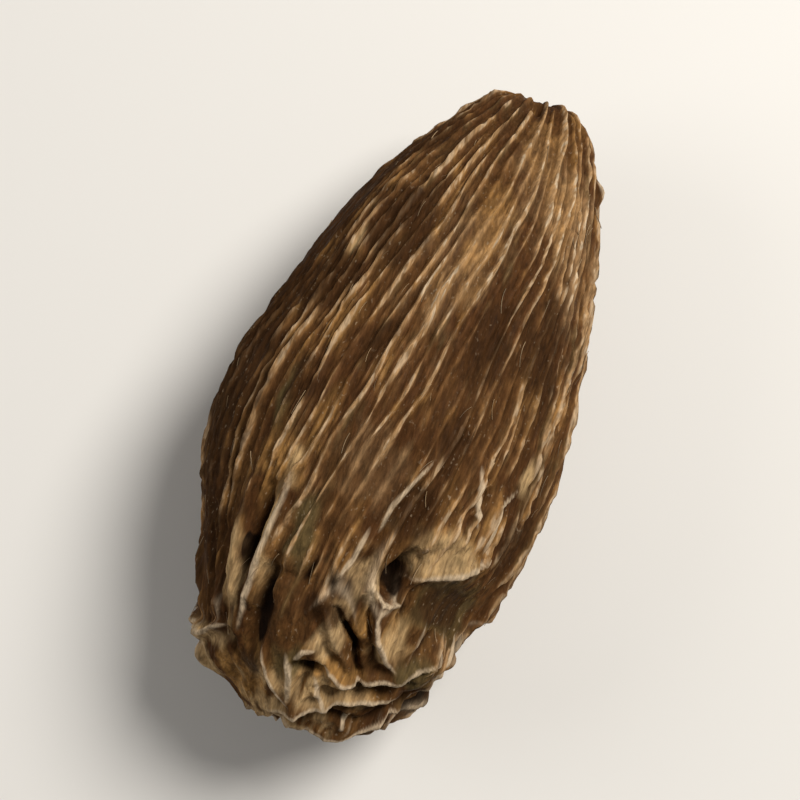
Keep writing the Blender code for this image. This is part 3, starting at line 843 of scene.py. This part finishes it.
def husk_material(finish):
    """Stained brown husk with worn rib crests and pale lips. Painted shade darkens the grooves between the
    ribs and paints the crown's gaps near-black. Dark patches are partly painted shade, sand patches are
    partly painted light, and the pale lip edges and crest specks are partly painted highlights.
    """
    material, nodes, shader = new_material("dried husk")
    place = nodes.add("ShaderNodeTexCoord", out=3)

    def attribute(name):
        return nodes.add("ShaderNodeAttribute", attribute_name=name, out=2)

    def speckle(name):
        across, along, detail, first = SPECKLES[name]
        cells = nodes.add("ShaderNodeMapping", place, (first, 0.0, 0.0), None,
                          (1 / along, 1 / across, 1 / across))
        return nodes.add("ShaderNodeTexNoise", cells, None, 1.0, detail)

    crest, dark, sand, worn = (attribute(name) for name in ("crest", "dark", "sand", "worn"))
    blotch, streak, fine, grit = (speckle(name) for name in ("blotch", "streak", "fine", "grit"))
    # Where the dark patches, partly painted shade, don't cover the worn crests
    outside_dark = nodes.rest(dark, DARK_HIDES)

    flank = nodes.mix(nodes.amount(speckle("broad"), "purple flank"), finish.flank, finish.purple)
    flank = nodes.mix(nodes.amount(blotch, "ochre flank"), flank, finish.ochre)
    flank = nodes.mix(nodes.amount(blotch, "olive flank"), flank, finish.olive)
    # Painted shade between the ribs, wherever the crests are low
    shaded_valley = nodes.mix(VALLEY_SHADE_STRENGTH, flank, finish.shaded_valley)
    base = nodes.mix(nodes.amount(crest, "flank"), shaded_valley, flank)

    ribbed = nodes.math("MAXIMUM", attribute("crown"), nodes.amount(crest, "ochre rib"))
    ochre = nodes.product(attribute("ochre"), nodes.amount(streak, "ochre streak"),
                          nodes.amount(blotch, "ochre blotch"), ribbed)
    base = nodes.mix(ochre, base, finish.ochre)
    # Sand: paler husk, partly painted light on raised pleats and the rim's edge
    base = nodes.mix(nodes.product(sand, nodes.amount(streak, "sand streak")), base, finish.sand)
    base = nodes.mix(nodes.product(attribute("olive"), OLIVE_STRENGTH), base, finish.olive)
    # Dark patches: real blotches, partly painted shade
    base = nodes.mix(nodes.product(dark, DARK_STRENGTH), base, finish.dark)

    scuffed = nodes.product(worn, nodes.amount(crest, "scuffed rib"), outside_dark)
    base = nodes.mix(scuffed, base, finish.crest)
    crests = nodes.product(nodes.amount(crest, "worn rib"), nodes.amount(streak, "worn streak"), outside_dark,
                           WORN_STRENGTH)
    base = nodes.mix(crests, base, finish.crest)
    # Pale edges of the lips, partly painted highlights
    edges = nodes.product(nodes.amount(attribute("lip"), "lip"), nodes.amount(streak, "lip streak"))
    base = nodes.mix(edges, base, finish.pale)
    # Pale dashes on the crests, partly wear and partly painted glints
    strength = nodes.math("MULTIPLY_ADD", worn, RUBBED_GLINT_MORE, RUBBED_GLINT_STRENGTH)
    rubbed_glint = nodes.product(nodes.amount(crest, "rubbed rib"), nodes.amount(speckle("dash"), "rubbed dash"),
                           strength, outside_dark)
    base = nodes.mix(rubbed_glint, base, finish.pale)
    specks = nodes.product(nodes.amount(speckle("speck"), "speck"), nodes.amount(blotch, "speck blotch"))
    base = nodes.mix(specks, base, finish.pale)
    # Painted near-black shade in the crown's slits and gaps, left out where a raised pleat is
    hole = nodes.product(nodes.amount(attribute("gap_shade"), "hole"), nodes.rest(sand, SAND_HIDES))
    base = nodes.mix(hole, base, finish.hole)
    shade = nodes.product(nodes.amount(fine, "fine shade"), nodes.amount(grit, "grit shade"))
    grey = nodes.add("ShaderNodeCombineColor", shade, shade, shade)
    base = nodes.mix(1.0, base, grey, blend="MULTIPLY")
    nodes.tree.links.new(base, shader.inputs["Base Color"])

    rough = nodes.between(streak, *ROUGH_STREAKS, finish.roughness - SMOOTHER, finish.roughness + ROUGHER)
    nodes.tree.links.new(rough, shader.inputs["Roughness"])
    shader.inputs["Specular IOR Level"].default_value = HUSK_SPECULAR
    relief = nodes.math("ADD", nodes.math("ADD", streak, nodes.product(fine, FINE_BUMP)), grit)
    bump = nodes.add("ShaderNodeBump",
                     named={"Strength": BUMP_STRENGTH, "Distance": BUMP_HEIGHT, "Height": relief})
    nodes.tree.links.new(bump, shader.inputs["Normal"])
    return material


def write_attribute(mesh, name, values):
    """Stores a number, or a direction where there are three, at each point of a mesh."""
    kind, field = ("FLOAT_VECTOR", "vector") if values.ndim == 2 else ("FLOAT", "value")
    mesh.attributes.new(name, kind, "POINT").data.foreach_set(field, values.ravel())


def centre_on_pod(points, shape):
    """Puts the husk's box over the pod's box, with the worn flat spot on the floor."""
    floor = points[:, 2].min() + shape.flat
    middle = (points.min(axis=0) + points.max(axis=0)) / 2
    target = (POD_LOW + POD_HIGH) / 2
    return points + np.array([target.x - middle[0], target.y - middle[1], POD_LOW.z - floor])


def add_piece(name, mesh):
    piece = bpy.data.objects.new(name, mesh)
    bpy.context.scene.collection.objects.link(piece)
    return piece


class CARDAMOM_OT_husk(bpy.types.Operator):
    """Make the ribbed and crumpled husk"""

    bl_idname = "cardamom.husk"
    bl_label = "Make husk"

    def execute(self, context):
        shape = context.scene.cardamom_husk
        ball = ball_mesh(shape.ribs * HUSK_COLUMNS_PER_RIB, HUSK_ROWS)
        count = len(ball.vertices)
        places = np.empty(count * 3, dtype=np.float32)
        ball.vertices.foreach_get("co", places)
        places = places.reshape(-1, 3).astype(float)
        row_share = np.arccos(np.clip(places[:, 2], -1.0, 1.0)) / math.pi
        column_angle = np.arctan2(places[:, 1], places[:, 0]) % (2 * math.pi)
        husk = Husk(shape, row_share, column_angle)
        points = centre_on_pod(husk.points(), shape)
        ball.vertices.foreach_set("co", points.astype(np.float32).ravel())
        write_attribute(ball, "phase", husk.phase)
        write_attribute(ball, "strength", husk.rib_strength())
        write_attribute(ball, "outward", husk.outward())
        # Painted shade of the slits and of the deep gaps
        write_attribute(ball, "gap_shade", np.maximum(husk.gap_shade, husk.ragged_patches(PAINTED_GAP_SHADE)))
        write_attribute(ball, "lip", husk.lip)
        write_attribute(ball, "crown", husk.crown)
        for name, patches in PATCHES_STAINS_AND_PAINTED_LIGHT.items():
            write_attribute(ball, name, husk.ragged_patches(patches))
        mesh = run_tree("husk", ball, relief_tree(), {
            "Rib height": shape.rib_height,
            "Rib half width": shape.rib_half_width,
            "Wrinkle height": shape.crinkle_height * WRINKLE_SHARE,
            "Seed": shape.seed,
            "Finish": husk_material(context.scene.cardamom_finish),
        })
        mesh.shade_smooth()
        piece = add_piece("husk", mesh)
        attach(piece, "root")
        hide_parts("pod")
        return {"FINISHED"}


def fibre_tree():
    """Scatters short fibres that lie along the ribs and lift a little at one end."""
    nodes, start = geometry_tree(
        "Loose fibres", ("Density", "Float"), ("Length", "Float"), ("Thickness", "Float"), ("Seed", "Int"),
        ("Finish", "Material"))
    points = nodes.tree.nodes.new("GeometryNodeDistributePointsOnFaces")
    for socket in ("Density", "Seed"):
        nodes.tree.links.new(start[socket], points.inputs[socket])
    nodes.tree.links.new(start["Geometry"], points.inputs["Mesh"])
    x, _y, z = nodes.position()
    inland = nodes.math("LESS_THAN", nodes.math("ABSOLUTE", x), FIBRE_REACH)
    upper = nodes.math("GREATER_THAN", z, FIBRE_FLOOR)
    nodes.tree.links.new(nodes.product(inland, upper), points.inputs["Selection"])

    line = nodes.add("GeometryNodeCurveQuadraticBezier", FIBRE_STEPS, *FIBRE_LINE)
    along = nodes.add("GeometryNodeSplineParameter")
    taper = nodes.math("MAXIMUM", nodes.rest(along, along), FIBRE_TIP)
    line = nodes.add("GeometryNodeSetCurveRadius", line, named={"Radius": taper})
    ratio = nodes.math("DIVIDE", start["Thickness"], start["Length"])
    ring = nodes.add("GeometryNodeCurvePrimitiveCircle", FIBRE_SIDES,
                     named={"Radius": nodes.product(ratio, 0.5)})
    strand = nodes.add("GeometryNodeCurveToMesh", line, ring, named={"Fill Caps": True})

    def random(low, high, shift):
        seed = nodes.math("ADD", start["Seed"], float(shift))
        return nodes.add("FunctionNodeRandomValue", named={2: low, 3: high, "Seed": seed}, out=1,
                         data_type="FLOAT")

    flat = nodes.add("FunctionNodeAlignRotationToVector", points.outputs["Rotation"], 1.0, (1.0, 0.0, 0.0),
                     axis="X", pivot_axis="Z")
    spin = nodes.add("ShaderNodeCombineXYZ", 0.0, 0.0, random(-FIBRE_TURN, FIBRE_TURN, 1))
    turned = nodes.add("FunctionNodeRotateRotation", flat, spin, rotation_space="LOCAL")
    size = nodes.product(start["Length"], random(*FIBRE_LENGTHS, 2))
    scattered = nodes.add("GeometryNodeInstanceOnPoints", points.outputs["Points"],
                          named={"Instance": strand, "Rotation": turned, "Scale": size})
    finish_tree(nodes, scattered, start["Finish"])
    return nodes


def fibre_material(look):
    """Straw colour with darker stretches."""
    material, nodes, shader = new_material("loose fibre")
    place = nodes.add("ShaderNodeTexCoord", out=3)
    patches = nodes.add("ShaderNodeTexNoise", place, None, 1 / FIBRE_PATCH, 1.0)
    dark = tuple(FIBRE_DARK * part for part in look.colour[:3]) + (1.0,)
    colour = nodes.mix(nodes.amount(patches, "fibre"), dark, look.colour)
    nodes.tree.links.new(colour, shader.inputs["Base Color"])
    shader.inputs["Roughness"].default_value = FIBRE_ROUGHNESS
    return material


class CARDAMOM_OT_fibres(bpy.types.Operator):
    """Make the loose fibres that lie on the husk"""

    bl_idname = "cardamom.fibres"
    bl_label = "Make fibres"

    def execute(self, context):
        look = context.scene.cardamom_fibres
        husk = bpy.data.objects["husk"].data.copy()
        mesh = run_tree("fibres", husk, fibre_tree(), {
            "Density": look.density,
            "Length": look.length,
            "Thickness": look.thickness,
            "Seed": look.seed,
            "Finish": fibre_material(look),
        })
        piece = add_piece("fibres", mesh)
        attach(piece, "root")
        return {"FINISHED"}


def aim(obj, target):
    """Turns a camera or a light to a place."""
    obj.rotation_mode = "QUATERNION"
    obj.rotation_quaternion = (target - obj.location).to_track_quat("-Z", "Y")


def add_light(name, location, target, size, power, colour):
    """A round soft light that shines on a place."""
    light = bpy.data.lights.new(name, "AREA")
    light.shape = "DISK"
    light.size = size
    light.energy = power
    light.color = colour
    lamp = bpy.data.objects.new(name, light)
    lamp.location = location
    bpy.context.scene.collection.objects.link(lamp)
    aim(lamp, target)


class CARDAMOM_OT_stage(bpy.types.Operator):
    """Make the pale floor, the soft lights and the camera"""

    bl_idname = "cardamom.stage"
    bl_label = "Make stage"

    def execute(self, context):
        look = context.scene.cardamom_stage
        scene = context.scene
        middle = (POD_LOW + POD_HIGH) / 2

        floor_mesh = bpy.data.meshes.new("floor")
        half, height = FLOOR_HALF_WIDTH, POD_LOW.z - FLOOR_GAP
        corners = ((-half, -half, height), (half, -half, height), (half, half, height), (-half, half, height))
        floor_mesh.from_pydata(corners, [], [(0, 1, 2, 3)])
        paint, _nodes, shader = new_material("pale floor")
        shader.inputs["Base Color"].default_value = look.floor
        shader.inputs["Roughness"].default_value = FLOOR_ROUGHNESS
        floor_mesh.materials.append(paint)
        add_piece("floor", floor_mesh)

        a, e = look.azimuth, look.elevation
        back = Vector((math.sin(a) * math.cos(e), -math.cos(a) * math.cos(e), math.sin(e)))
        up = Vector((-math.sin(a), math.cos(a), 0.0))
        right = up.cross(Vector((0.0, 0.0, 1.0)))
        camera = bpy.data.objects.new("camera", bpy.data.cameras.new("camera"))
        camera.data.lens = look.lens
        camera.data.sensor_width = SENSOR_WIDTH
        distance = look.view_height * look.lens / SENSOR_WIDTH
        camera.location = middle + back * distance
        camera.data.clip_start = NEAREST_SEEN
        scene.collection.objects.link(camera)
        aim(camera, middle)
        scene.camera = camera

        def over_pod(to_right, to_top, height):
            return middle + right * to_right + up * to_top + Vector((0, 0, height))

        add_light("key light", over_pod(*KEY_PLACE), middle, KEY_SIZE, look.key, KEY_COLOUR)
        add_light("fill light", over_pod(*FILL_PLACE), middle, FILL_SIZE, look.fill, SOFT_COLOUR)

        world = bpy.data.worlds.new("soft studio")
        world.use_nodes = True
        sky = world.node_tree.nodes["Background"]
        sky.inputs["Color"].default_value = (*SOFT_COLOUR, 1.0)
        sky.inputs["Strength"].default_value = look.sky
        scene.world = world
        scene.view_settings.view_transform = "Standard"
        return {"FINISHED"}


class CARDAMOM_PT_panel(bpy.types.Panel):
    """Sizes, colours and steps of the cardamom pod"""

    bl_idname = "CARDAMOM_PT_panel"
    bl_label = "Black cardamom pod"
    bl_space_type = "VIEW_3D"
    bl_region_type = "UI"
    bl_category = "Cardamom"

    def draw(self, context):
        for group, operators in PANEL_ROWS:
            box = self.layout.box()
            settings = getattr(context.scene, group)
            for name in settings.__annotations__:
                box.prop(settings, name)
            for operator in operators:
                box.operator(operator)


PANEL_ROWS = (
    ("cardamom_husk", ()),
    ("cardamom_finish", ("cardamom.husk",)),
    ("cardamom_fibres", ("cardamom.fibres",)),
    ("cardamom_stage", ("cardamom.stage",)),
)
GROUPS = {
    "cardamom_husk": HuskShape,
    "cardamom_finish": HuskFinish,
    "cardamom_fibres": FibreLook,
    "cardamom_stage": StageLook,
}
CLASSES = (*GROUPS.values(), CARDAMOM_OT_husk, CARDAMOM_OT_fibres, CARDAMOM_OT_stage, CARDAMOM_PT_panel)


def register():
    for cls in CLASSES:
        bpy.utils.register_class(cls)
    for name, group in GROUPS.items():
        setattr(bpy.types.Scene, name, PointerProperty(type=group))


def unregister():
    for name in GROUPS:
        delattr(bpy.types.Scene, name)
    for cls in reversed(CLASSES):
        bpy.utils.unregister_class(cls)


def main():
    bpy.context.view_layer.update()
    register()
    bpy.ops.cardamom.husk()
    bpy.ops.cardamom.fibres()
    bpy.ops.cardamom.stage()


if __name__ == "__main__":
    main()
